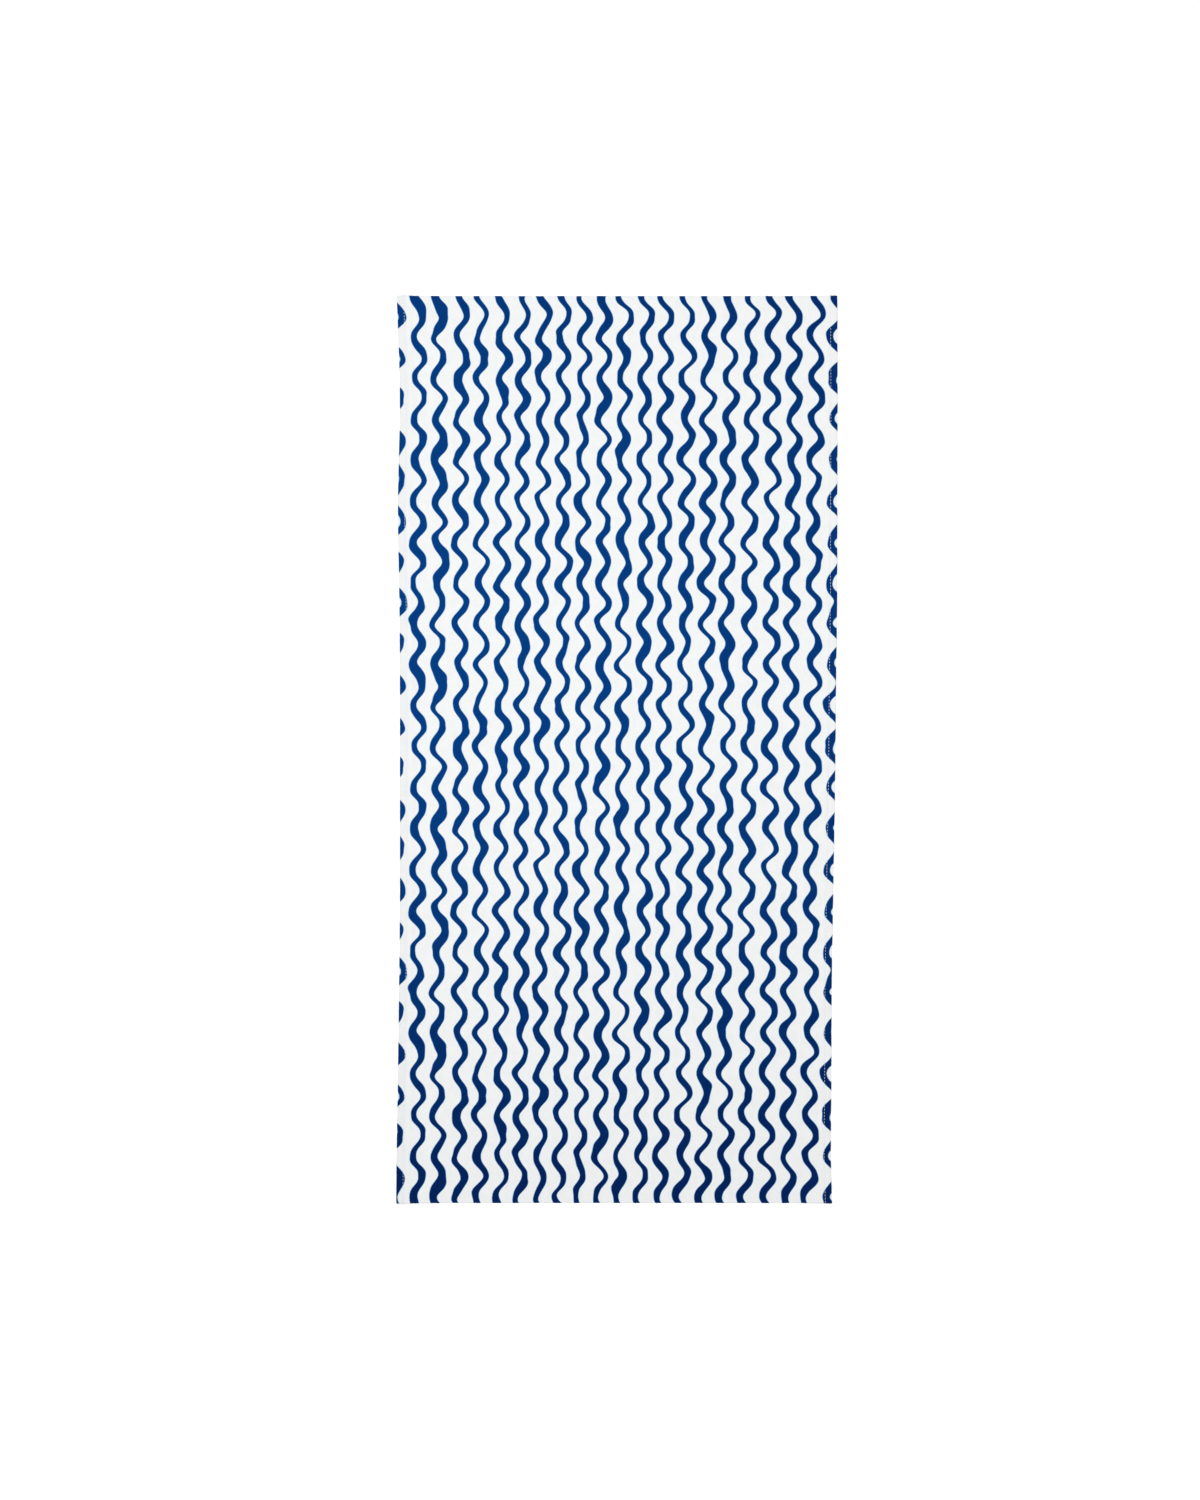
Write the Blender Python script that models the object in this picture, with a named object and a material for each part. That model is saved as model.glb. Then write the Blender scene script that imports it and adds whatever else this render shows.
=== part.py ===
"""A travel towel: one oblong of thin cloth with its two long edges hemmed, lying face up on a flat surface.

Metres, +Z up. +Y runs along the towel, from its foot end to its head end, and +X across it. The origin is on
the surface, under the middle of the towel.
"""

import math
from collections import namedtuple

import bmesh
import bpy
import numpy as np

# Driving sizes
LENGTH = 0.800  # from cut end to cut end
WIDTH = 0.389  # over the outermost points of the two long edges
THICKNESS = 0.0010  # of one layer of cloth
LAYER_GAP = 0.0003  # air between the two layers of a hem
HEM_WIDTH = 0.0085  # how far under itself the cloth is turned
HEM_SLOPE = 0.0065  # the run in which the cloth comes down from its hem to the surface

# The long edges waver, and the towel is a little narrower at its foot. Insets are from the full width.
Edge = namedtuple("Edge", "from_head left_inset right_inset")
EDGES = (
    Edge(0.000, 0.0004, 0.0004),
    Edge(0.092, 0.0031, 0.0000),
    Edge(0.189, 0.0013, 0.0003),
    Edge(0.268, 0.0026, 0.0004),
    Edge(0.335, 0.0031, 0.0013),
    Edge(0.430, 0.0031, 0.0022),
    Edge(0.533, 0.0031, 0.0040),
    Edge(0.621, 0.0022, 0.0053),
    Edge(0.691, 0.0013, 0.0055),
    Edge(0.780, 0.0000, 0.0056),
    Edge(0.800, 0.0000, 0.0049),
)

# How finely the surface is divided
ROWS = 40  # along the length
FOLD_STEPS = 6  # round each hem's outer fold
SLOPE_STEPS = 5  # down each hem's slope
FIELD_STEPS = 6  # across the flat middle
SHARP_ANGLE = math.radians(40)

CLOTH_COLOUR = (0.90, 0.92, 0.93, 1.0)
CLOTH_ROUGHNESS = 0.9


def clear_scene():
    for old in list(bpy.data.objects):
        bpy.data.objects.remove(old, do_unlink=True)


def smooth_curve(knots, values, at):
    """A smooth curve through values at knots, read at the given places."""
    slopes = np.gradient(values, knots)
    spans = np.clip(np.searchsorted(knots, at, side="right") - 1, 0, len(knots) - 2)
    run = knots[spans + 1] - knots[spans]
    t = (at - knots[spans]) / run
    from_start = (1 + 2 * t) * (1 - t) ** 2 * values[spans] + t * (1 - t) ** 2 * run * slopes[spans]
    from_end = t * t * (3 - 2 * t) * values[spans + 1] - t * t * (1 - t) * run * slopes[spans + 1]
    return from_start + from_end


def hem_section():
    """The middle of the cloth at one hem, from its raw end inwards: (distance in from the fold, height)."""
    radius = (THICKNESS + LAYER_GAP) / 2
    low = THICKNESS / 2
    high = low + 2 * radius
    centre = THICKNESS / 2 + radius
    section = [(HEM_WIDTH, low)]
    for step in range(FOLD_STEPS + 1):
        turn = math.pi * step / FOLD_STEPS
        section.append((centre - radius * math.sin(turn), low + radius * (1 - math.cos(turn))))
    for step in range(SLOPE_STEPS + 1):
        along = step / SLOPE_STEPS
        drop = (1 - math.cos(math.pi * along)) / 2
        section.append((HEM_WIDTH + HEM_SLOPE * along, high - (high - low) * drop))
    return section


def section_across(left_edge, right_edge):
    """The middle of the cloth right across the towel, from the left hem's raw end to the right hem's: (x, z)."""
    left = [(left_edge + inwards, z) for inwards, z in hem_section()]
    right = [(right_edge - inwards, z) for inwards, z in reversed(hem_section())]
    field = np.linspace(left[-1][0], right[0][0], FIELD_STEPS + 1)[1:-1]
    return np.array(left + [(x, THICKNESS / 2) for x in field] + right)


def thicken(middle):
    """The closed outline of a strip of cloth whose middle is this line: along its face, then back."""
    runs = np.diff(middle, axis=0)
    runs /= np.linalg.norm(runs, axis=1, keepdims=True)
    after = np.vstack([runs, runs[-1:]])
    bisectors = np.vstack([runs[:1], runs]) + after
    bisectors /= np.linalg.norm(bisectors, axis=1, keepdims=True)
    normals = np.column_stack([-bisectors[:, 1], bisectors[:, 0]])
    reach = normals * THICKNESS / 2 / (bisectors * after).sum(axis=1, keepdims=True)
    return np.vstack([middle + reach, (middle - reach)[::-1]])


def make_towel():
    """Rings of points across the cloth, one for each row, joined along its length and closed at its cut ends."""
    knots = np.array([edge.from_head for edge in EDGES])
    rows = np.linspace(0.0, LENGTH, ROWS + 1)
    left_edges = -WIDTH / 2 + smooth_curve(knots, np.array([edge.left_inset for edge in EDGES]), rows)
    right_edges = WIDTH / 2 - smooth_curve(knots, np.array([edge.right_inset for edge in EDGES]), rows)

    cloth = bmesh.new()
    rings = []
    for from_head, left_edge, right_edge in zip(rows, left_edges, right_edges):
        outline = thicken(section_across(left_edge, right_edge))
        rings.append([cloth.verts.new((x, LENGTH / 2 - from_head, z)) for x, z in outline])
    for ring, next_ring in zip(rings, rings[1:]):
        for i in range(len(ring)):
            cloth.faces.new((ring[i - 1], next_ring[i - 1], next_ring[i], ring[i]))
    for ring in (rings[0], rings[-1]):
        for i in range(len(ring) // 2 - 1):
            cloth.faces.new((ring[i], ring[i + 1], ring[-2 - i], ring[-1 - i]))
    bmesh.ops.recalc_face_normals(cloth, faces=cloth.faces)

    mesh = bpy.data.meshes.new("towel")
    cloth.to_mesh(mesh)
    cloth.free()
    mesh.shade_smooth()
    mesh.set_sharp_from_angle(angle=SHARP_ANGLE)
    towel = bpy.data.objects.new("towel", mesh)
    bpy.context.scene.collection.objects.link(towel)
    return towel


def printed_cloth():
    material = bpy.data.materials.new("printed_cloth")
    material.use_nodes = True
    surface = material.node_tree.nodes["Principled BSDF"]
    surface.inputs["Base Color"].default_value = CLOTH_COLOUR
    surface.inputs["Roughness"].default_value = CLOTH_ROUGHNESS
    surface.inputs["Metallic"].default_value = 0.0
    return material


clear_scene()
make_towel().data.materials.append(printed_cloth())
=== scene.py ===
"""The looks of the travel towel: printed, woven cloth with two stitched hems, laid flat and seen from above.

Metres, +Z up. +Y runs along the towel to its head end and +X across it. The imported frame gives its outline
and the height of its layers, and everything here is worked out from those and from the settings below.
"""

import math

import bpy
import numpy as np
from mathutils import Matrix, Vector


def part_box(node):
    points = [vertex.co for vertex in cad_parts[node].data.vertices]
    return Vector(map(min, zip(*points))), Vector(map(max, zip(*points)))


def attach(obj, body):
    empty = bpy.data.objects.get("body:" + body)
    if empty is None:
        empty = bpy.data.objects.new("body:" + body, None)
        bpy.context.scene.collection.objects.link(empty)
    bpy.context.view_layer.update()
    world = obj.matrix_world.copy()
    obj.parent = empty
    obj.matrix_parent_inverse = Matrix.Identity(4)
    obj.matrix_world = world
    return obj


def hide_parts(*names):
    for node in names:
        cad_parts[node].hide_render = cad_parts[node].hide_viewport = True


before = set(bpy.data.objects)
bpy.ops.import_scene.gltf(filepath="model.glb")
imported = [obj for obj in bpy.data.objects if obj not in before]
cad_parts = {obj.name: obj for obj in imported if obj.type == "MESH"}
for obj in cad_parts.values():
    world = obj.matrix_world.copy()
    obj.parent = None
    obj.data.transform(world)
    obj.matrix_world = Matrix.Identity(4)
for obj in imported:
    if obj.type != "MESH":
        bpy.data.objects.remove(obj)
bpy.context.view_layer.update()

bl_info = {
    "name": "Travel towel",
    "version": (1, 0, 0),
    "blender": (4, 5, 0),
    "location": "View3D > Sidebar > Towel",
    "description": "Makes a printed travel towel with stitched hems, its cut ends and a plain studio",
    "category": "Add Mesh",
}

MM = 0.001

# The cloth's own maps: its places in the print and in a baked picture, and how much painted shade each point
# gets at a hem
PRINT_MAP = "print_place"
BAKE_MAP = "OFBake"
HEM_SHADE_MAP = "painted_hem_shade"

# The photograph, in its own pixels
PHOTO_WIDTH = 1200
PHOTO_HEIGHT = 1500
TOWEL_LENGTH_PX = 907
TOWEL_CENTRE_PX = (617.0, 749.5)

# What the frame says
NODE = "towel"
BODY = "root"
LOW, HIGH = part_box(NODE)
LENGTH = HIGH.y - LOW.y

# How deep the stitches pull the cloth between two needle holes, against 1 at a hole
BETWEEN_HOLES = 0.55

# The bare rim round the cut ends in a baked picture, as a share of its side
END_RIM = 0.001


def outline_of(node):
    """The rows of the frame's solid from head to foot, and the towel's left and right edge at each."""
    points = np.array([vertex.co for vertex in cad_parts[node].data.vertices])
    rows = np.unique(points[:, 1].round(4))[::-1]
    across = [points[np.abs(points[:, 1] - row) < MM, 0] for row in rows]
    return rows, np.array([x.min() for x in across]), np.array([x.max() for x in across])


def layer_of(node):
    """The thickness of one layer, which is the height of the flat middle."""
    points = np.array([vertex.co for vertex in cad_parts[node].data.vertices])
    from_middle = np.abs(points[:, 0])
    return float(points[from_middle < from_middle.min() + MM, 2].max())


ROWS, LEFT_EDGE, RIGHT_EDGE = outline_of(NODE)
LAYER = layer_of(NODE)
WIDTH = float((RIGHT_EDGE - LEFT_EDGE).mean())


def edges_at(along):
    """The towel's left and right edge at places along it."""
    return np.interp(-along, -ROWS, LEFT_EDGE), np.interp(-along, -ROWS, RIGHT_EDGE)


def straightened(places):
    """Where places of the laid cloth, which leans a little, lie in its straight print: (across, along)."""
    left = np.polyval(np.polyfit(ROWS, LEFT_EDGE, 1), places[..., 1])
    right = np.polyval(np.polyfit(ROWS, RIGHT_EDGE, 1), places[..., 1])
    from_left = (places[..., 0] - left) / (right - left)
    return np.stack([(from_left - 0.5) * WIDTH, places[..., 1]], axis=-1)


def size(name, description, default):
    return bpy.props.FloatProperty(
        name=name, description=description, default=default, precision=5, subtype="DISTANCE", unit="LENGTH"
    )


def share(name, description, default):
    return bpy.props.FloatProperty(name=name, description=description, default=default, precision=3)


def colour(name, description, default):
    return bpy.props.FloatVectorProperty(
        name=name, description=description, default=default, size=3, min=0.0, max=1.0, subtype="COLOR"
    )


def whole(name, description, default):
    return bpy.props.IntProperty(name=name, description=description, default=default)


class TowelClothSettings(bpy.types.PropertyGroup):
    hem_width: size("Hem width", "How far the cloth is turned under at each long edge", 8.5 * MM)
    hem_slope: size("Hem slope", "Run in which the cloth comes down from a hem to the floor", 6.5 * MM)
    stitch_inset: size("Stitch inset", "From a long edge to its line of stitches", 6.0 * MM)
    stitch_pitch: size("Stitch pitch", "From one needle hole to the next", 2.8 * MM)
    groove_width: size("Groove width", "Half width of the dip that the stitches pull into a hem", 0.95 * MM)
    ripple_height: size("Ripple height", "How high the hemmed edges ripple off the floor", 1.3 * MM)
    swell_height: size("Swell height", "How high the middle swells off the floor", 0.6 * MM)
    curl_height: size("Corner curl", "How high the corners curl", 1.8 * MM)
    cut_wander: size("Cut wander", "How far the cut ends stray from straight", 0.25 * MM)
    field_columns: whole("Field columns", "Columns of faces across the flat middle", 22)
    seed: whole("Seed", "Picks the ripples", 4)
    yarn_pitch: size("Yarn pitch", "From one yarn of the weave to the next", 0.46 * MM)
    white: colour("White", "The undyed cloth", (0.864, 0.867, 0.863))
    # The colour that the painted shade between the yarns and at the hems goes towards, and the random tone
    # with it
    shade: colour("Shade", "The undyed cloth between its yarns", (0.752, 0.764, 0.773))


class TowelPrintSettings(bpy.types.PropertyGroup):
    stroke_pitch: size("Stroke pitch", "From one wavering stripe to the next", 18.37 * MM)
    stroke_shift: size("Stroke shift", "How far the middle stripe lies from the towel's middle", 6.58 * MM)
    crowding: share("Crowding", "How much the stripes crowd, in pitches", 0.11)
    crowded_at: size("Crowded at", "Where the stripes crowd most, from the towel's middle", -42.0 * MM)
    stroke_width: size("Stroke width", "Mean width of a stripe", 5.48 * MM)
    wave_length: size("Wave length", "Length of one wave of a stripe", 36.11 * MM)
    repeat_waves: whole("Waves in a repeat", "How many waves long the drawing is before it repeats", 9)
    swing: size("Swing", "How far a stripe swings to either side", 4.4 * MM)
    first_crest: size("First crest", "Where the topmost swing to the right is, from the middle", 382.0 * MM)
    edge_softness: size("Edge softness", "Run in which the ink gives out at a stripe's edge", 0.65 * MM)
    soaked_softness: size("Soaked softness", "The same for the ink that shows on the back", 1.3 * MM)
    show_through: share("Show-through", "How strongly the print shows on the back", 0.14)
    # The bright and the deep blue are the print lit and in painted shade
    bright: colour("Bright blue", "The print where it is lightest", (0.001, 0.043, 0.203))
    deep: colour("Deep blue", "The print where it is deepest", (0.001, 0.015, 0.093))
    thin: colour("Thin blue", "The print at its very edge, where the ink is thin", (0.10, 0.36, 0.65))


class TowelSewingSettings(bpy.types.PropertyGroup):
    thread_width: size("Thread width", "Thickness of the sewing thread", 0.36 * MM)
    stitch_length: size("Stitch length", "Length of the thread in one stitch", 2.3 * MM)
    dive: size("Dive", "How deep a stitch's ends go into the cloth", 0.60 * MM)
    thread: colour("Thread", "The sewing thread", (0.80, 0.82, 0.85))
    seed: whole("Seed", "Picks how the stitches differ", 11)


class TowelFraySettings(bpy.types.PropertyGroup):
    spacing: share("Spacing", "From one tip to the next, in yarns", 0.6)
    tip_length: size("Tip length", "Mean length of the yarn tips at the cut ends", 0.36 * MM)
    tip_width: size("Tip width", "Thickness of a yarn tip at its root", 0.24 * MM)
    inked: share("Inked", "How strongly the tips are printed", 0.8)
    seed: whole("Seed", "Picks how the tips differ", 23)


class TowelStageSettings(bpy.types.PropertyGroup):
    camera_height: size("Camera height", "How high the camera looks down from", 3.0)
    floor_size: size("Floor size", "Side of the floor", 60.0)
    floor: colour("Floor", "The floor", (1.0, 1.0, 1.0))
    floor_glow: share("Floor glow", "How much light the floor gives by itself", 0.18)
    room_light: share("Room light", "Strength of the even light from all round", 0.62)
    lamp_power: share("Lamp power", "Power of the soft box, in watts", 15.0)
    lamp_size: size("Lamp size", "Side of the soft box", 0.9)
    lamp_height: size("Lamp height", "How high the soft box hangs", 1.55)
    lamp_across: size("Lamp across", "How far to the right of the middle it hangs", -0.11)
    lamp_along: size("Lamp along", "How far towards the head it hangs", 0.16)


class Value:
    """A node's number, on which Python arithmetic adds Math nodes."""

    def __init__(self, nodes, socket):
        self.nodes = nodes
        self.socket = socket

    def math(self, operation, *numbers):
        made = self.nodes.add("ShaderNodeMath", {"operation": operation}, dict(enumerate(numbers)))
        return Value(self.nodes, made.outputs[0])

    def __add__(self, other):
        return self.math("ADD", self, other)

    def __radd__(self, other):
        return self.math("ADD", other, self)

    def __sub__(self, other):
        return self.math("SUBTRACT", self, other)

    def __rsub__(self, other):
        return self.math("SUBTRACT", other, self)

    def __mul__(self, other):
        return self.math("MULTIPLY", self, other)

    def __rmul__(self, other):
        return self.math("MULTIPLY", other, self)

    def __truediv__(self, other):
        return self.math("DIVIDE", self, other)

    def __rtruediv__(self, other):
        return self.math("DIVIDE", other, self)

    def __pow__(self, other):
        return self.math("POWER", self, other)

    def __abs__(self):
        return self.math("ABSOLUTE", self)

    def floor(self):
        return self.math("FLOOR", self)

    def sine(self):
        return self.math("SINE", self)

    def cosine(self):
        return self.math("COSINE", self)

    def least(self, other):
        return self.math("MINIMUM", self, other)

    def most(self, other):
        return self.math("MAXIMUM", self, other)

    def clipped(self):
        return self.most(0.0).least(1.0)


class Nodes:
    """Adds nodes to a shader or geometry tree."""

    def __init__(self, tree):
        self.tree = tree
        tree.nodes.clear()

    def add(self, kind, settings=None, sockets=None):
        """Any node: its type, its settings, and what each of its sockets holds or is fed by."""
        made = self.tree.nodes.new(kind)
        for name, value in (settings or {}).items():
            setattr(made, name, value)
        for name, value in (sockets or {}).items():
            self.feed(made.inputs[name], value)
        return made

    def feed(self, socket, value):
        if isinstance(value, Value):
            self.tree.links.new(value.socket, socket)
        elif isinstance(value, bpy.types.NodeSocket):
            self.tree.links.new(value, socket)
        else:
            socket.default_value = value

    def split(self, vector):
        """The first two numbers of a vector."""
        parts = self.add("ShaderNodeSeparateXYZ", None, {"Vector": vector})
        return Value(self, parts.outputs["X"]), Value(self, parts.outputs["Y"])

    def noise_at(self, place, dimensions, detail, roughness):
        """Smooth noise from 0 to 1 at a place, with features about one unit long."""
        made = self.add(
            "ShaderNodeTexNoise",
            {"noise_dimensions": dimensions},
            {"Vector": place.outputs[0], "Scale": 1.0, "Detail": detail, "Roughness": roughness},
        )
        return Value(self, made.outputs["Fac"])

    def noise(self, across, along, detail=0.0, roughness=0.5):
        """Smooth noise over two numbers."""
        place = self.add("ShaderNodeCombineXYZ", None, {"X": across, "Y": along})
        return self.noise_at(place, "2D", detail, roughness)

    def looped_noise(self, key, around, features, detail=0.0, roughness=0.5):
        """Smooth noise round a ring, with so many features in a full turn and other ones for each key."""
        radius = features / (2 * math.pi)
        ring = {"X": key, "Y": around.cosine() * radius, "Z": around.sine() * radius}
        place = self.add("ShaderNodeCombineXYZ", None, ring)
        return self.noise_at(place, "3D", detail, roughness)

    def random_vector(self, seed, low, high):
        """A vector that differs from copy to copy."""
        made = self.add("FunctionNodeRandomValue", {"data_type": "FLOAT_VECTOR"}, {"Seed": seed})
        self.feed(made.inputs[0], low)
        self.feed(made.inputs[1], high)
        return made.outputs[0]

    def finish_copies(self, copies, material):
        """Ends a geometry tree: the copies are made real and smooth, and get their material."""
        real = self.add("GeometryNodeRealizeInstances", None, {"Geometry": copies})
        smooth = self.add("GeometryNodeSetShadeSmooth", None, {"Geometry": real.outputs[0]})
        given = {"Geometry": smooth.outputs[0], "Material": material}
        coloured = self.add("GeometryNodeSetMaterial", None, given)
        self.add("NodeGroupOutput", None, {"Geometry": coloured.outputs[0]})

    def mix(self, factor, first, second):
        """A colour between two colours."""
        made = self.add("ShaderNodeMix", {"data_type": "RGBA"}, {"Factor": factor})
        self.feed(made.inputs[6], first)
        self.feed(made.inputs[7], second)
        return made.outputs[2]


def solid_colour(rgb):
    return (*rgb, 1.0)


def new_material(name):
    material = bpy.data.materials.new(name)
    material.use_nodes = True
    return material, Nodes(material.node_tree)


def finish_surface(nodes, uniform, varied):
    """Ends a material in a Principled surface with its uniform values, and with those that vary fed in."""
    surface = nodes.add("ShaderNodeBsdfPrincipled", None, {**uniform, **varied})
    nodes.add("ShaderNodeOutputMaterial", None, {"Surface": surface.outputs[0]})


def stripe_print(nodes, across, along, weave, ink, softness):
    """Where the print is, from 0 on bare cloth to 1 in a stripe, with edges of the given softness.

    Every stripe swings in step with the others, and its two sides swell and thin by themselves, as a brush
    does. The whole drawing comes round again after a repeat.
    """
    stroke_key = 8.237  # sets the stripes' noise far apart
    swing_key = 23.0  # sets the noise of the swing apart from theirs
    swing_spread = 0.9  # how fast the swing's drift changes from stripe to stripe
    flatness = 0.026  # how far the swing's turns are flattened
    slant = 0.09 * MM  # a stripe is a little broader on its way down to the left
    bleed_run = 0.7 * MM
    bleed_depth = 0.35 * MM
    yarn_depth = 0.30 * MM  # how much further the ink reaches on the yarns' crests than between them

    repeat = ink.repeat_waves * ink.wave_length
    around = along * (2 * math.pi / repeat)
    crowd = ((across - ink.crowded_at) * (2 * math.pi / WIDTH)).sine() * ink.crowding
    counted = (across - ink.stroke_shift) / ink.stroke_pitch + crowd
    late = slow_drift(nodes, counted * swing_spread + swing_key, around, repeat)
    phase = (along - ink.first_crest + late) * (2 * math.pi / ink.wave_length)
    turn = phase.cosine()
    swung = turn * (1.0 + 3 * flatness - turn * turn * (4 * flatness))
    counted = counted - swung * (ink.swing / ink.stroke_pitch)
    stroke = (counted + 0.5).floor()
    aside = (counted - stroke) * ink.stroke_pitch

    key = stroke * stroke_key
    rise = phase.sine()
    lean = rise * (2 * math.pi * ink.swing / ink.wave_length)
    upright = 1.0 / (lean * lean + 1.0) ** 0.5
    centred = (aside - stroke_stray(nodes, key, around, repeat)) * upright
    left, right = stroke_sides(nodes, key, along, phase, repeat)
    half = ink.stroke_width / 2 - rise * slant
    inside = (half + centred + left).least(half - centred + right)

    bleed = (nodes.noise(across / bleed_run, along / bleed_run, 1.0) - 0.5) * bleed_depth
    taken_up = (weave - 0.5) * yarn_depth
    return ((inside + bleed + taken_up) / softness + 0.5).clipped()


def slow_drift(nodes, key, around, repeat):
    """A slow drift along the print, to either side of nought."""
    run = 240.0 * MM
    depth = 2.4 * MM
    return (nodes.looped_noise(key, around, repeat / run) - 0.5) * depth


def stroke_stray(nodes, key, around, repeat):
    """How far a stripe as a whole strays from its even swing."""
    run = 22.0 * MM
    depth = 8.6 * MM
    grain = 0.8  # how much the finer wandering adds
    wander_key = 97.1  # these two set the noises of one stripe apart
    drift_key = 141.9
    wander = (nodes.looped_noise(key + wander_key, around, repeat / run, 1.0, grain) - 0.5) * depth
    return wander + slow_drift(nodes, key + drift_key, around, repeat)


def stroke_sides(nodes, key, along, phase, repeat):
    """How far the left and the right side of a stripe swell out from its mean width."""
    run = 36.0 * MM  # length along a stripe of one swelling
    depth = 6.0 * MM
    grain = 1.0  # how much the finer swellings add
    on_slopes = 0.35  # how much more the sides swell on a stripe's slopes
    on_inside = 0.5  # and on the inner side of its bends
    to_bends = 1.4 * MM  # how far the swellings are drawn towards the bends
    right_key = 51.3  # sets the right side's noise apart from the left's

    rise = phase.sine()
    turn = phase.cosine()
    drawn = (along + (phase * 2.0).sine() * to_bends) * (2 * math.pi / repeat)
    swell = (rise * rise * on_slopes + 1.0) * depth
    left = nodes.looped_noise(key, drawn, repeat / run, 1.0, grain) - 0.5
    right = nodes.looped_noise(key + right_key, drawn, repeat / run, 1.0, grain) - 0.5
    return skewed(left) * swell * (1.0 + turn * on_inside), skewed(right) * swell * (1.0 - turn * on_inside)


def skewed(noise):
    """Noise about nought with its low side flattened, so that stripes swell more than they thin."""
    flattening = 2.0
    return noise + noise * noise * flattening


def weave_height(across, along, pitch):
    """Height of a plain weave from 0 to 1: each crossing is a bump, longer along the yarn on top."""
    sharpness = 0.7  # how steeply a yarn's sides fall
    longer = 0.3  # how much more gently it falls along its own way
    changeover = 4.0  # how quickly one yarn comes to the top in place of the other
    warp = (across * (math.pi / pitch)).sine()
    weft = (along * (math.pi / pitch)).sine()
    on_top = (warp * weft * changeover).most(-1.0).least(1.0) * longer
    return abs(warp) ** (sharpness + on_top) * abs(weft) ** (sharpness - on_top)


def slub_and_nap(nodes, across, along):
    """How thick the yarns are from place to place, about 1, and how high the cloth's nap is, about 0.5."""
    slub_length = 2.2 * MM
    slub_width = 0.5 * MM
    weft_key = 31.0  # these two set the noises apart
    nap_key = 11.0
    nap_width = 7.0 * MM
    nap_length = 9.0 * MM
    warp = nodes.noise(across / slub_length, along / slub_width, 1.0)
    weft = nodes.noise(across / slub_width + weft_key, along / slub_length, 1.0)
    return warp + weft, nodes.noise(across / nap_width + nap_key, along / nap_length, 3.0)


def yarn_shade_and_tone(weave, slub, nap, of_yarn_shade, of_slub, of_nap):
    """The cloth's tone about nought, with so much of each of its causes: painted shade between the yarns
    where the weave is low, and random tone from the yarns' thickness and the nap.
    """
    return (0.5 - weave) * of_yarn_shade + (slub - 1.0) * of_slub + (nap - 0.5) * of_nap


def painted_blue_shade(across, along):
    """How much painted shade deepens the blue on even cloth: it deepens to the right and towards both cut
    ends.
    """
    least = 0.1
    lightest_at = 0.116  # along the towel
    to_ends = 4.0  # with the square of the metres away from there
    to_sides = 2.0  # with the square of the metres across, from the middle
    to_right = 0.8  # with the metres across
    to_corner = 1.45  # with the metres across times those along
    away = along - lightest_at
    return across * (across * to_sides + along * to_corner + to_right) + away * away * to_ends + least


def cloth_material(name, cloth, ink, strength, softness):
    """Woven cloth with the print at the given strength and softness."""
    hem_shade_depth = 0.28  # how much painted shade darkens a hem
    resting = 0.408  # how dull the cloth is where it is even
    in_white = (0.9, 0.5, 0.6)  # how much painted shade between the yarns, the yarns' thickness and the nap show in the white
    in_blue = (0.30, 0.25, 0.4)  # and in the blue
    relief = 0.22 * MM
    material, nodes = new_material(name)
    place = nodes.add("ShaderNodeAttribute", {"attribute_name": PRINT_MAP})
    across, along = nodes.split(place.outputs["Vector"])
    weave = weave_height(across, along, cloth.yarn_pitch)
    slub, nap = slub_and_nap(nodes, across, along)

    # The painted shade at the hems, as the cloth's points carry it
    hem = Value(nodes, nodes.add("ShaderNodeAttribute", {"attribute_name": HEM_SHADE_MAP}).outputs["Fac"])
    # Painted shade between the yarns and at the hems, with the random tone of the yarns' thickness and the
    # nap
    shade_and_tone = yarn_shade_and_tone(weave, slub, nap, *in_white) + hem * hem_shade_depth + resting
    bare = nodes.mix(shade_and_tone.clipped(), solid_colour(cloth.white), solid_colour(cloth.shade))
    # The blue goes towards its deep colour with painted shade to the right and towards both cut ends, with
    # painted shade between the yarns, and with random tone
    depth = painted_blue_shade(across, along) + yarn_shade_and_tone(weave, slub, nap, *in_blue)
    blue = nodes.mix(depth.clipped(), solid_colour(ink.bright), solid_colour(ink.deep))

    # The first half of the cover goes from bare cloth to thin ink, and the second half on to full ink
    cover = stripe_print(nodes, across, along, weave, ink, softness) * (2.0 * strength)
    thinly = nodes.mix(cover.least(1.0), bare, solid_colour(ink.thin))
    base = nodes.mix((cover - 1.0).clipped(), thinly, blue)

    height = weave * 0.5 + slub * 0.25 + nap * 0.5
    bump = nodes.add("ShaderNodeBump", None, {"Strength": 0.7, "Distance": relief, "Height": height})
    finish_surface(
        nodes,
        {"Specular IOR Level": 0.01, "Sheen Weight": 0.01, "Sheen Roughness": 0.5},
        {"Base Color": base, "Roughness": 0.92 - slub * 0.04, "Normal": bump.outputs[0]},
    )
    return material


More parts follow.
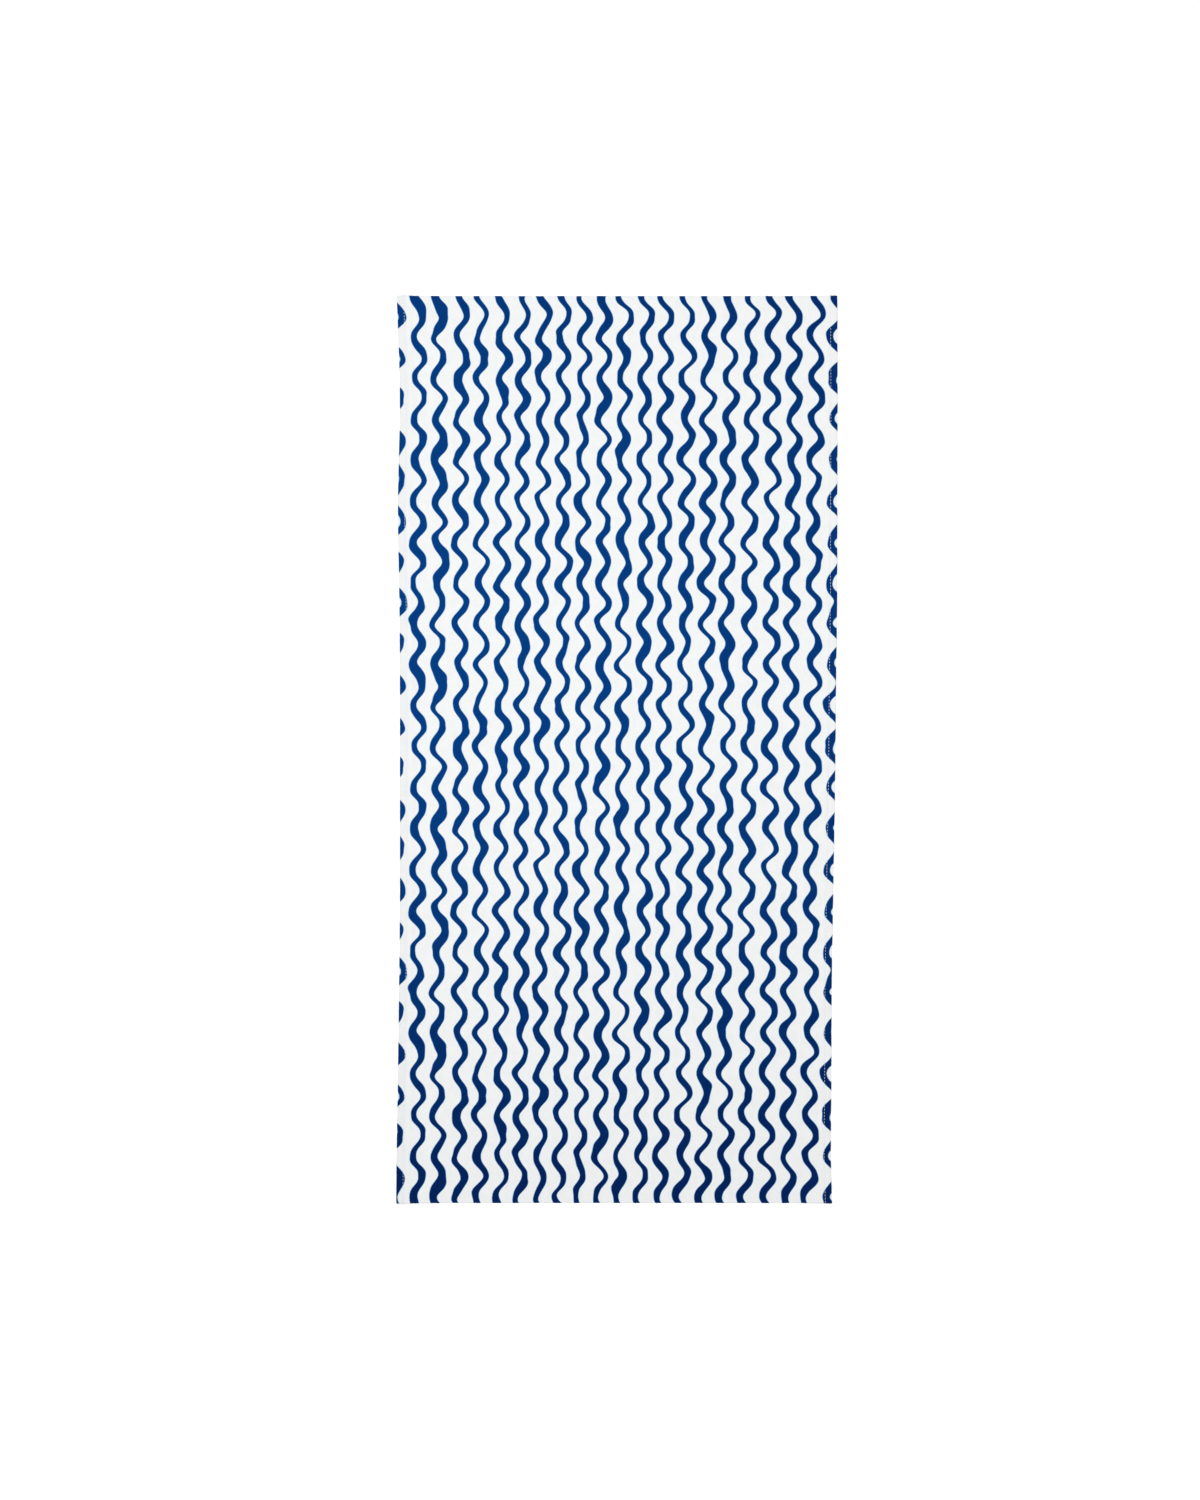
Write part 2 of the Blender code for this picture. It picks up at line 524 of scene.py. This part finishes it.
def thread_material(name, sewing):
    """Two-ply sewing thread, its twist slanting across each stitch, with painted shade between its plies."""
    twist_pitch = 0.42 * MM
    fibre_width = 0.15 * MM
    fibre_length = 0.6 * MM
    relief = 0.05 * MM
    ply_shade = 0.80  # painted shade between the plies
    material, nodes = new_material(name)
    across, along = nodes.split(nodes.add("ShaderNodeTexCoord").outputs["Object"])
    twist = ((across + along) * (2 * math.pi / twist_pitch)).sine() * 0.5 + 0.5
    fibre = nodes.noise(across / fibre_width, along / fibre_length, 2.0)
    thread_in_shade = tuple(ply_shade * part for part in sewing.thread)
    # Painted shade between the plies, with the fibres' random tone
    base = nodes.mix((twist * 0.7 + fibre * 0.3).clipped(), solid_colour(thread_in_shade), solid_colour(sewing.thread))
    height = twist + fibre * 0.3
    bump = nodes.add("ShaderNodeBump", None, {"Strength": 0.5, "Distance": relief, "Height": height})
    finish_surface(
        nodes,
        {"Specular IOR Level": 0.3, "Sheen Weight": 0.1},
        {"Base Color": base, "Roughness": 0.62 + fibre * 0.1, "Normal": bump.outputs[0]},
    )
    return material


def smooth_waves(rng, places, longest, shortest, count=5):
    """A smooth wandering curve from -1 to 1 over the given places."""
    faintest = 0.6
    total = np.zeros_like(places)
    for length in np.geomspace(longest, shortest, count):
        total += np.sin(2 * np.pi * places / length + rng.uniform(0, 2 * np.pi)) * rng.uniform(faintest, 1.0)
    return total / np.abs(total).max()


def lift(cloth, x, y, left, right):
    """How high the cloth lies off the floor: rippled hems, faint swells between them and curled corners."""
    longest_ripple, shortest_ripple = 0.170, 0.042
    longest_swell, shortest_swell = 0.52, 0.19
    longest_slanting, shortest_slanting = 0.31, 0.14
    slanting = 0.35  # how far the slanting swells lie from straight across
    ripple_reach = 26 * MM
    curl_reach = 38 * MM
    least_curl = 0.35

    rng = np.random.default_rng(cloth.seed)
    rows = y[:, 0]
    height = np.zeros_like(x)
    for edge in (left, right):
        ripple = 0.5 + 0.5 * smooth_waves(rng, rows, longest_ripple, shortest_ripple)
        inwards = np.abs(x - edge[:, None])
        height += cloth.ripple_height * ripple[:, None] * np.exp(-((inwards / ripple_reach) ** 2))
    along = smooth_waves(rng, rows, longest_swell, shortest_swell, 3)[:, None]
    places = (x + slanting * y).ravel()
    askew = smooth_waves(rng, places, longest_slanting, shortest_slanting, 3).reshape(x.shape)
    height += cloth.swell_height * (0.5 + 0.25 * along + 0.25 * askew)
    for corner_y in (-LENGTH / 2, LENGTH / 2):
        for edge in (left, right):
            curl = cloth.curl_height * rng.uniform(least_curl, 1.0)
            away = ((x - edge[:, None]) ** 2 + (y - corner_y) ** 2) / curl_reach**2
            height += curl * np.exp(-away)
    return height


def hem_columns(cloth):
    """One hem's section from its raw end inwards: distance in from the fold, height, print place and groove.

    The print place is measured along the cloth, so that the print runs round the fold and under it.
    """
    fold_steps = 7
    slope_steps = 6
    radius = (HIGH.z - LAYER) / 2
    centre = LAYER / 2 + radius
    low = LAYER / 2
    high = low + 2 * radius
    turned = math.pi * radius  # length of cloth in the fold
    near = cloth.groove_width
    by_stitches = cloth.stitch_inset + near * np.arange(-2, 3)
    flat = np.concatenate([[(2 * centre + cloth.stitch_inset) / 3], by_stitches])
    groove = np.exp(-(((flat - cloth.stitch_inset) / near) ** 2))

    columns = [(cloth.hem_width, low, centre - turned - (cloth.hem_width - centre), 0.0)]
    for x, dip in zip(flat[::-1], groove[::-1]):
        columns.append((x, low, centre - turned - (x - centre), dip))
    for step in range(fold_steps + 1):
        turn = math.pi * step / fold_steps
        x = centre - radius * math.sin(turn)
        columns.append((x, low + radius * (1 - math.cos(turn)), centre - turned + radius * turn, 0.0))
    for x, dip in zip(flat, groove):
        columns.append((x, high, x, -dip))
    for step in range(slope_steps + 1):
        down = step / slope_steps
        x = cloth.hem_width + cloth.hem_slope * down
        columns.append((x, high - (high - low) * (1 - math.cos(math.pi * down)) / 2, x, 0.0))
    return np.array(columns).T


def cloth_rows(cloth):
    """The rows from head to foot: where each is, how full the cloth is, and how deep the stitches pull it."""
    stitches = round(LENGTH / cloth.stitch_pitch)
    halves = np.linspace(0, LENGTH, 2 * stitches + 1)
    pull = np.where(np.arange(len(halves)) % 2 == 0, 1.0, BETWEEN_HOLES)
    ends = np.array([0.15 * MM, 0.45 * MM])  # two more rows, close to each cut
    pull_at_ends = [1.0, 0.9]
    fullness_at_ends = [0.45, 0.80, 1.0]  # at the cut, which is pressed thin, and at those two rows
    from_head = np.concatenate([halves, ends, LENGTH - ends])
    pull = np.concatenate([pull, pull_at_ends, pull_at_ends])
    order = np.argsort(from_head)
    from_head, pull = from_head[order], pull[order]
    from_end = np.minimum(from_head, LENGTH - from_head)
    return from_head, np.interp(from_end, [0, *ends], fullness_at_ends), pull


def cloth_surface(cloth):
    """Every point of the cloth's middle, row by row: x, y and z, the thickness there and the print place."""
    under_dip = 0.25 * MM  # how far the stitches draw the turned layer up
    face_dip = 0.30 * MM  # and the face down
    thinning = 0.30 * MM
    longest_stray, shortest_stray = 0.11, 0.012
    stray_run = 6 * MM  # how far into the cloth the cut's straying reaches

    from_head, fullness, pull = cloth_rows(cloth)
    y_rows = LENGTH / 2 - from_head
    left, right = edges_at(y_rows)
    inward, height, print_in, groove = hem_columns(cloth)
    start = left + inward[-1]
    end = right - inward[-1]
    shares = np.linspace(0, 1, cloth.field_columns + 1)[1:-1]
    field = start[:, None] + (end - start)[:, None] * shares
    level = np.full(field.shape, LAYER / 2)
    ones = np.ones((len(y_rows), 1))
    x = np.hstack([left[:, None] + inward, field, right[:, None] - inward[::-1]])
    z = np.hstack([ones * height, level, ones * height[::-1]])
    across = np.hstack([left[:, None] + print_in, field, right[:, None] - print_in[::-1]])
    dips = np.hstack([ones * groove, np.zeros_like(field), ones * groove[::-1]]) * pull[:, None]
    z = z + np.where(dips > 0, under_dip, face_dip) * dips
    thickness = (LAYER - thinning * np.abs(dips)) * fullness[:, None]

    rng = np.random.default_rng(cloth.seed + 1)
    y = np.repeat(y_rows[:, None], x.shape[1], axis=1)
    for end_sign in (1, -1):
        stray = 0.5 + 0.5 * smooth_waves(rng, across[0], longest_stray, shortest_stray)
        fade = np.exp(-((LENGTH / 2 - end_sign * y) / stray_run))
        y = y - end_sign * cloth.cut_wander * stray * fade
    return x, y, z, thickness, across


def normals_across(x, z):
    """The direction square to the cloth in its section, and how far a mitre there reaches."""
    run = np.stack([np.diff(x, axis=1), np.diff(z, axis=1)], axis=-1)
    run /= np.linalg.norm(run, axis=-1, keepdims=True)
    after = np.concatenate([run, run[:, -1:]], axis=1)
    bisector = np.concatenate([run[:, :1], run], axis=1) + after
    bisector /= np.linalg.norm(bisector, axis=-1, keepdims=True)
    mitre = 1 / (bisector * after).sum(axis=-1)
    return -bisector[..., 1] * mitre, bisector[..., 0] * mitre


def cloth_sides(cloth):
    """The points of the cloth's face and back, and the place of each in the print."""
    x, y, z, thickness, across = cloth_surface(cloth)
    square_x, square_z = normals_across(x, z)
    raised = lift(cloth, x, y, *edges_at(y[:, 0]))
    face = np.stack([x + square_x * thickness / 2, y, z + square_z * thickness / 2 + raised], axis=-1)
    back = np.stack([x - square_x * thickness / 2, y, z - square_z * thickness / 2 + raised], axis=-1)
    return face, back, np.stack([across, y], axis=-1)


def grid_faces(first, second):
    """Quads between two rows of point numbers, for each pair of neighbouring columns."""
    corners = [first[..., :-1], second[..., :-1], second[..., 1:], first[..., 1:]]
    return np.stack(corners, axis=-1).reshape(-1, 4)


def bake_places(columns, positions):
    """Where each column of the face and of the back lies across a square picture, neither over the other."""
    rim = 0.002  # round each side's part of the picture
    face_share = 0.8  # the face's share of the picture, because its print is the finer
    span = (positions - positions[0]) / (positions[-1] - positions[0])
    on_face = rim + span * (face_share - 2 * rim)
    on_back = face_share + rim + span * (1 - face_share - 2 * rim)
    face_ring = np.concatenate([on_face, [on_face[-1] + rim], np.zeros(columns), [on_face[0] - rim]])
    back_ring = np.concatenate([np.zeros(columns), [on_back[-1] + rim], on_back[::-1], [on_back[0] - rim]])
    return face_ring, back_ring


def side_band(number, columns, across, along):
    """The face, the back and the long edges: quads of points, their material slots and their baked places."""
    rows, ring_size = number.shape
    looped = np.concatenate([number, number[:, :1]], axis=1)
    step = np.arange(ring_size)
    is_back = (step >= columns) & (step < 2 * columns + 1)
    faces = grid_faces(looped[:-1], looped[1:])
    slots = np.tile(is_back.astype(int), rows - 1)
    place, row_of = faces % ring_size, faces // ring_size
    islands = np.where(slots[:, None] == 1, across[1][place], across[0][place])
    return faces, slots, np.stack([islands, along[row_of]], axis=-1)


def end_bands(number, columns, across, along):
    """The cut ends in the same form, each from its middle up to the face and down to the back."""
    rows, ring_size = number.shape
    extra = rows * ring_size
    for row, order, way in ((0, 1, -1), (rows - 1, -1, 1)):
        inner = extra + np.arange(columns - 2)
        extra += columns - 2
        between = np.concatenate([[number[row, -1]], inner, [number[row, columns]]])
        upper = number[row, :columns]
        lower = number[row, columns + 1 : 2 * columns + 1][::-1]
        rim = np.full(columns, along[row] + way * END_RIM)
        edge = np.full(columns, along[row])
        on_face, on_back = across[0][:columns], across[1][columns + 1 : 2 * columns + 1][::-1]
        bands = (
            (0, (between, upper), (on_face, rim), (on_face, edge)),
            (1, (lower, between), (on_back, edge), (on_back, rim)),
        )
        for slot, (first, second), first_map, second_map in bands:
            faces = grid_faces(first[None], second[None])[:, ::order]
            pairs = [grid_faces(a[None], b[None])[:, ::order] for a, b in zip(first_map, second_map)]
            yield faces, np.full(columns - 1, slot), np.stack(pairs, axis=-1)


def cloth_mesh(cloth, name):
    """A closed mesh of the whole sheet. Its print side has the first material, and its back the second."""
    bulge = 0.06 * MM  # how far the middle of the thickness stands out at a cut end
    sharp = math.radians(60)
    face, back, printed = cloth_sides(cloth)
    columns = face.shape[1]
    middle = (face + back) / 2
    middle[0, :, 1] += bulge
    middle[-1, :, 1] -= bulge
    ring = np.concatenate([face, middle[:, -1:], back[:, ::-1], middle[:, :1]], axis=1)
    places = np.concatenate([printed, printed[:, -1:], printed[:, ::-1], printed[:, :1]], axis=1)
    points = np.concatenate([ring.reshape(-1, 3), middle[0, 1:-1], middle[-1, 1:-1]])
    print_places = np.concatenate([places.reshape(-1, 2), printed[0, 1:-1], printed[-1, 1:-1]])

    number = np.arange(ring[..., 0].size).reshape(ring.shape[:2])
    across = bake_places(columns, printed.mean(axis=0)[:, 0])
    from_head = (LENGTH / 2 - face[:, :, 1].mean(axis=1)) / LENGTH
    along = 2 * END_RIM + from_head * (1 - 4 * END_RIM)
    bands = [side_band(number, columns, across, along), *end_bands(number, columns, across, along)]
    faces, slots, maps = (np.concatenate(part) for part in zip(*bands))

    mesh = bpy.data.meshes.new(name)
    mesh.from_pydata(points.tolist(), [], faces.tolist())
    mesh.polygons.foreach_set("material_index", slots)
    for map_name, values in ((PRINT_MAP, straightened(print_places)[faces]), (BAKE_MAP, maps)):
        layer = mesh.uv_layers.new(name=map_name)
        layer.uv.foreach_set("vector", values.astype(np.float32).ravel())
    # The painted shade at the hems, kept on the points
    hem_shade_at_points = painted_hem_shade(cloth, print_places)
    mesh.attributes.new(HEM_SHADE_MAP, "FLOAT", "POINT").data.foreach_set("value", hem_shade_at_points.astype(np.float32))
    mesh.shade_smooth()
    mesh.set_sharp_from_angle(angle=sharp)
    return mesh


def painted_hem_shade(cloth, print_places):
    """How much painted shade darkens each point of a hem: fully out to its stitches, and fading inside them.
    """
    fade = 3.0 * MM
    right_hem_shade_part = 0.1  # the right hem gets a tenth of the left hem's painted shade
    reach = cloth.stitch_inset + fade
    across, along = print_places.T
    left, right = edges_at(along)
    on_left = np.clip((reach - (across - left)) / fade, 0, 1)
    on_right = np.clip((reach - (right - across)) / fade, 0, 1)
    return on_left + right_hem_shade_part * on_right


def add_piece(name, mesh, *materials):
    piece = bpy.data.objects.new(name, mesh)
    bpy.context.scene.collection.objects.link(piece)
    for material in materials:
        mesh.materials.append(material)
    return piece


def settle(piece):
    """Puts a finished piece on the towel's body."""
    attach(piece, BODY)


class TOWEL_OT_lay_cloth(bpy.types.Operator):
    """Makes the printed cloth with its two turned hems, in place of the frame's plain solid"""

    bl_idname = "towel.lay_cloth"
    bl_label = "Lay out the cloth"

    def execute(self, context):
        cloth = context.scene.towel_cloth
        ink = context.scene.towel_print
        piece = add_piece(
            "towel_cloth",
            cloth_mesh(cloth, "towel_cloth"),
            cloth_material("printed_face", cloth, ink, 1.0, ink.edge_softness),
            cloth_material("plain_back", cloth, ink, ink.show_through, ink.soaked_softness),
        )
        settle(piece)
        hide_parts(NODE)
        return {"FINISHED"}


def guide_points(name, points, chains):
    """Bare points for Geometry Nodes to follow, joined into the given chains of neighbours: (first, last)."""
    edges = [(i, i + 1) for first, last in chains for i in range(first, last)]
    mesh = bpy.data.meshes.new(name)
    mesh.from_pydata(points.tolist(), edges, [])
    guide = bpy.data.objects.new(name, mesh)
    bpy.context.scene.collection.objects.link(guide)
    return guide


def new_geometry_tree(name, sizes, material):
    """A geometry tree that is given a guide, the named sizes, a seed and a material, and what each gives."""
    tree = bpy.data.node_groups.new(name, "GeometryNodeTree")
    nodes = Nodes(tree)
    kinds = {"Geometry": "Geometry", **dict.fromkeys(sizes, "Float"), "Seed": "Int", material: "Material"}
    tree.interface.new_socket("Geometry", in_out="OUTPUT", socket_type="NodeSocketGeometry")
    for label, kind in kinds.items():
        tree.interface.new_socket(label, in_out="INPUT", socket_type=f"NodeSocket{kind}")
    return tree, nodes, nodes.add("NodeGroupInput").outputs


def realised(guide, tree, values, name, material):
    """The plain mesh that a geometry tree makes on a guide, as a piece. The guide is removed."""
    modifier = guide.modifiers.new(tree.name, "NODES")
    modifier.node_group = tree
    for item in tree.interface.items_tree:
        if item.in_out == "INPUT" and item.name in values:
            modifier[item.identifier] = values[item.name]
    graph = bpy.context.evaluated_depsgraph_get()
    mesh = bpy.data.meshes.new_from_object(guide.evaluated_get(graph), depsgraph=graph)
    mesh.name = name
    mesh.materials.clear()
    bpy.data.objects.remove(guide)
    return add_piece(name, mesh, material)


def stitch_tree():
    """One bowed bit of thread at each point of a guide, along it, each a little different."""
    sides = 6
    steps = 5
    sway = ((0.0, -0.02, -0.06), (0.0, 0.02, 0.06))  # how far a stitch may turn, in radians
    sizes = ((0.93, 0.90, 0.85), (1.05, 1.06, 1.15))  # how small and how large it may be
    lengths = ("Stitch Length", "Thread Width", "Rise", "Dive")
    tree, nodes, given = new_geometry_tree("sewn_stitches", lengths, "Thread")
    half = Value(nodes, given["Stitch Length"]) / 2.0
    dive = Value(nodes, given["Dive"])
    start = nodes.add("ShaderNodeCombineXYZ", None, {"X": 0.0 - half, "Z": 0.0 - dive})
    top = nodes.add("ShaderNodeCombineXYZ", None, {"Z": Value(nodes, given["Rise"]) * 2.0})
    end = nodes.add("ShaderNodeCombineXYZ", None, {"X": half, "Z": 0.0 - dive})
    bow = nodes.add(
        "GeometryNodeCurveQuadraticBezier",
        None,
        {"Resolution": steps, "Start": start.outputs[0], "Middle": top.outputs[0], "End": end.outputs[0]},
    )
    ring = nodes.add(
        "GeometryNodeCurvePrimitiveCircle",
        None,
        {"Resolution": sides, "Radius": Value(nodes, given["Thread Width"]) / 2.0},
    )
    thread = nodes.add(
        "GeometryNodeCurveToMesh",
        None,
        {"Curve": bow.outputs[0], "Profile Curve": ring.outputs[0], "Fill Caps": True},
    )
    chain = nodes.add("GeometryNodeMeshToCurve", None, {"Mesh": given["Geometry"]})
    places = nodes.add("GeometryNodeCurveToPoints", {"mode": "EVALUATED"}, {"Curve": chain.outputs[0]})
    facing = nodes.add(
        "FunctionNodeAxesToRotation",
        {"primary_axis": "X", "secondary_axis": "Z"},
        {"Primary Axis": places.outputs["Tangent"], "Secondary Axis": (0.0, 0.0, 1.0)},
    )
    seed = Value(nodes, given["Seed"])
    swayed = nodes.add(
        "FunctionNodeRotateRotation",
        {"rotation_space": "LOCAL"},
        {"Rotation": facing.outputs[0], "Rotate By": nodes.random_vector(seed, *sway)},
    )
    copies = nodes.add(
        "GeometryNodeInstanceOnPoints",
        None,
        {
            "Points": places.outputs["Points"],
            "Instance": thread.outputs[0],
            "Rotation": swayed.outputs[0],
            "Scale": nodes.random_vector(seed + 1.0, *sizes),
        },
    )
    nodes.finish_copies(copies.outputs[0], given["Thread"])
    return tree


def stitch_lines(cloth):
    """The middle of every stitch on the cloth's face, then under it, at the left hem and at the right."""
    face = cloth_sides(cloth)[0]
    middles = np.flatnonzero(cloth_rows(cloth)[2] == BETWEEN_HOLES)
    groove = hem_columns(cloth)[3]
    under = int(np.argmax(groove))
    over = int(np.argmin(groove))
    last = face.shape[1] - 1
    return (
        (face[middles, over], face[middles, last - over]),
        (face[middles, under], face[middles, last - under]),
    )


class TOWEL_OT_sew_hems(bpy.types.Operator):
    """Sews both hems with a line of stitches, seen on the face and underneath"""

    bl_idname = "towel.sew_hems"
    bl_label = "Sew the hems"

    def execute(self, context):
        clearance = 0.07 * MM  # from the bottom of the groove to a stitch's place
        rise = 0.27 * MM
        sewing = context.scene.towel_sewing
        tree = stitch_tree()
        thread = thread_material("sewing_thread", sewing)
        over, under = stitch_lines(context.scene.towel_cloth)
        sets = (("face_stitches", over, 1.0), ("under_stitches", under, -1.0))
        for number, (name, lines, way) in enumerate(sets):
            points = np.concatenate(lines) + (0.0, 0.0, way * clearance)
            count = len(lines[0])
            guide = guide_points(name, points, ((0, count - 1), (count, 2 * count - 1)))
            piece = realised(
                guide,
                tree,
                {
                    "Stitch Length": sewing.stitch_length,
                    "Thread Width": sewing.thread_width,
                    "Rise": way * rise,
                    "Dive": way * sewing.dive,
                    "Seed": sewing.seed + number,
                    "Thread": thread,
                },
                name,
                thread,
            )
            settle(piece)
        return {"FINISHED"}


def fray_tree():
    """A short blunt yarn tip at each point of a guide, out of the nearer cut end and a little astray."""
    sides = 5
    blunt = 0.32  # radius of a tip's outer end, as a share of its width
    scatter = ((-0.35, -0.45, 0.0), (0.35, 0.45, 3.0))  # how far a tip may turn, in radians
    sizes = ((0.6, 0.6, 0.4), (1.1, 1.1, 1.4))  # how small and how large it may be
    tree, nodes, given = new_geometry_tree("yarn_tips", ("Tip Length", "Tip Width"), "Yarn")
    tip = nodes.add(
        "GeometryNodeMeshCone",
        None,
        {
            "Vertices": sides,
            "Side Segments": 2,
            "Fill Segments": 1,
            "Radius Top": Value(nodes, given["Tip Width"]) * blunt,
            "Radius Bottom": Value(nodes, given["Tip Width"]) / 2.0,
            "Depth": given["Tip Length"],
        },
    )
    here = nodes.split(nodes.add("GeometryNodeInputPosition").outputs[0])[1]
    outwards = nodes.add("ShaderNodeCombineXYZ", None, {"Y": here.math("SIGN", here)})
    facing = nodes.add("FunctionNodeAlignRotationToVector", {"axis": "Z"}, {"Vector": outwards.outputs[0]})
    seed = Value(nodes, given["Seed"])
    turned = nodes.add(
        "FunctionNodeRotateRotation",
        {"rotation_space": "LOCAL"},
        {"Rotation": facing.outputs[0], "Rotate By": nodes.random_vector(seed, *scatter)},
    )
    copies = nodes.add(
        "GeometryNodeInstanceOnPoints",
        None,
        {
            "Points": given["Geometry"],
            "Instance": tip.outputs["Mesh"],
            "Rotation": turned.outputs[0],
            "Scale": nodes.random_vector(seed + 1.0, *sizes),
        },
    )
    nodes.finish_copies(copies.outputs[0], given["Yarn"])
    return tree


class TOWEL_OT_fray_ends(bpy.types.Operator):
    """Leaves short yarn tips along the two cut ends"""

    bl_idname = "towel.fray_ends"
    bl_label = "Fray the cut ends"

    def execute(self, context):
        cloth = context.scene.towel_cloth
        fray = context.scene.towel_fray
        face, back, printed = cloth_sides(cloth)
        step = cloth.yarn_pitch * fray.spacing
        roots = []
        for row in (0, -1):
            line = np.hstack([(face[row] + back[row]) / 2, printed[row]])
            run = np.concatenate([[0], np.cumsum(np.linalg.norm(np.diff(line[:, :3], axis=0), axis=1))])
            at = np.arange(step, run[-1] - step, step)
            roots.append(np.stack([np.interp(at, run, axis) for axis in line.T], axis=-1))
        roots = np.concatenate(roots)
        guide = guide_points("cut_ends", roots[:, :3], [])
        places = np.pad(straightened(roots[:, 3:]), ((0, 0), (0, 1)))
        printed_at = guide.data.attributes.new(PRINT_MAP, "FLOAT_VECTOR", "POINT")
        printed_at.data.foreach_set("vector", places.ravel())
        ink = context.scene.towel_print
        yarn = cloth_material("yarn_tips", cloth, ink, fray.inked, ink.edge_softness)
        piece = realised(
            guide,
            fray_tree(),
            {"Tip Length": fray.tip_length, "Tip Width": fray.tip_width, "Seed": fray.seed, "Yarn": yarn},
            "yarn_tips",
            yarn,
        )
        settle(piece)
        return {"FINISHED"}


class TOWEL_OT_set_stage(bpy.types.Operator):
    """Sets out a plain pale floor, soft light and the camera straight above"""

    bl_idname = "towel.set_stage"
    bl_label = "Set the stage"

    def execute(self, context):
        stage = context.scene.towel_stage
        self.make_floor(stage)
        self.make_light(context.scene, stage)
        self.make_camera(context.scene, stage)
        context.scene.view_settings.view_transform = "Standard"
        return {"FINISHED"}

    def make_floor(self, stage):
        half = stage.floor_size / 2
        level = -0.05 * MM  # just under the cloth, so that the two never share a plane
        corners = [(-half, -half, level), (half, -half, level), (half, half, level), (-half, half, level)]
        mesh = bpy.data.meshes.new("floor")
        mesh.from_pydata(corners, [], [(0, 1, 2, 3)])
        material, nodes = new_material("pale_floor")
        finish_surface(
            nodes,
            {
                "Base Color": solid_colour(stage.floor),
                "Roughness": 1.0,
                "Specular IOR Level": 0.0,
                "Emission Color": solid_colour(stage.floor),
                "Emission Strength": stage.floor_glow,
            },
            {},
        )
        add_piece("floor", mesh, material)

    def make_light(self, scene, stage):
        world = bpy.data.worlds.new("studio")
        world.use_nodes = True
        nodes = Nodes(world.node_tree)
        glow = nodes.add(
            "ShaderNodeBackground", None, {"Color": (1.0, 1.0, 1.0, 1.0), "Strength": stage.room_light}
        )
        nodes.add("ShaderNodeOutputWorld", None, {"Surface": glow.outputs[0]})
        scene.world = world
        lamp = bpy.data.lights.new("soft_box", "AREA")
        lamp.shape = "SQUARE"
        lamp.size = stage.lamp_size
        lamp.energy = stage.lamp_power
        box = bpy.data.objects.new("soft_box", lamp)
        box.location = (stage.lamp_across, stage.lamp_along, stage.lamp_height)
        box.visible_camera = False
        scene.collection.objects.link(box)

    def make_camera(self, scene, stage):
        metres_per_px = LENGTH / TOWEL_LENGTH_PX
        lens = bpy.data.cameras.new("camera")
        lens.lens = lens.sensor_width * stage.camera_height / (PHOTO_HEIGHT * metres_per_px)
        lens.clip_end = 100.0
        camera = bpy.data.objects.new("camera", lens)
        camera.location = (
            (PHOTO_WIDTH / 2 - TOWEL_CENTRE_PX[0]) * metres_per_px,
            (TOWEL_CENTRE_PX[1] - PHOTO_HEIGHT / 2) * metres_per_px,
            stage.camera_height + LAYER,
        )
        scene.collection.objects.link(camera)
        scene.camera = camera


class TOWEL_PT_maker(bpy.types.Panel):
    """Lists the towel's pieces and its stage"""

    bl_idname = "TOWEL_PT_maker"
    bl_label = "Travel towel"
    bl_space_type = "VIEW_3D"
    bl_region_type = "UI"
    bl_category = "Towel"

    def draw(self, context):
        for operator, settings in STEPS:
            box = self.layout.box()
            for group in settings:
                shown = getattr(context.scene, group)
                for name in shown.__annotations__:
                    box.prop(shown, name)
            box.operator(operator.bl_idname)


STEPS = (
    (TOWEL_OT_lay_cloth, ("towel_cloth", "towel_print")),
    (TOWEL_OT_sew_hems, ("towel_sewing",)),
    (TOWEL_OT_fray_ends, ("towel_fray",)),
    (TOWEL_OT_set_stage, ("towel_stage",)),
)
SETTINGS = {
    "towel_cloth": TowelClothSettings,
    "towel_print": TowelPrintSettings,
    "towel_sewing": TowelSewingSettings,
    "towel_fray": TowelFraySettings,
    "towel_stage": TowelStageSettings,
}


def register():
    for name, group in SETTINGS.items():
        bpy.utils.register_class(group)
        setattr(bpy.types.Scene, name, bpy.props.PointerProperty(type=group))
    for operator, _ in STEPS:
        bpy.utils.register_class(operator)
    bpy.utils.register_class(TOWEL_PT_maker)


def unregister():
    bpy.utils.unregister_class(TOWEL_PT_maker)
    for operator, _ in reversed(STEPS):
        bpy.utils.unregister_class(operator)
    for name, group in reversed(SETTINGS.items()):
        delattr(bpy.types.Scene, name)
        bpy.utils.unregister_class(group)


def main():
    register()
    bpy.ops.towel.lay_cloth()
    bpy.ops.towel.sew_hems()
    bpy.ops.towel.fray_ends()
    bpy.ops.towel.set_stage()


if __name__ == "__main__":
    main()
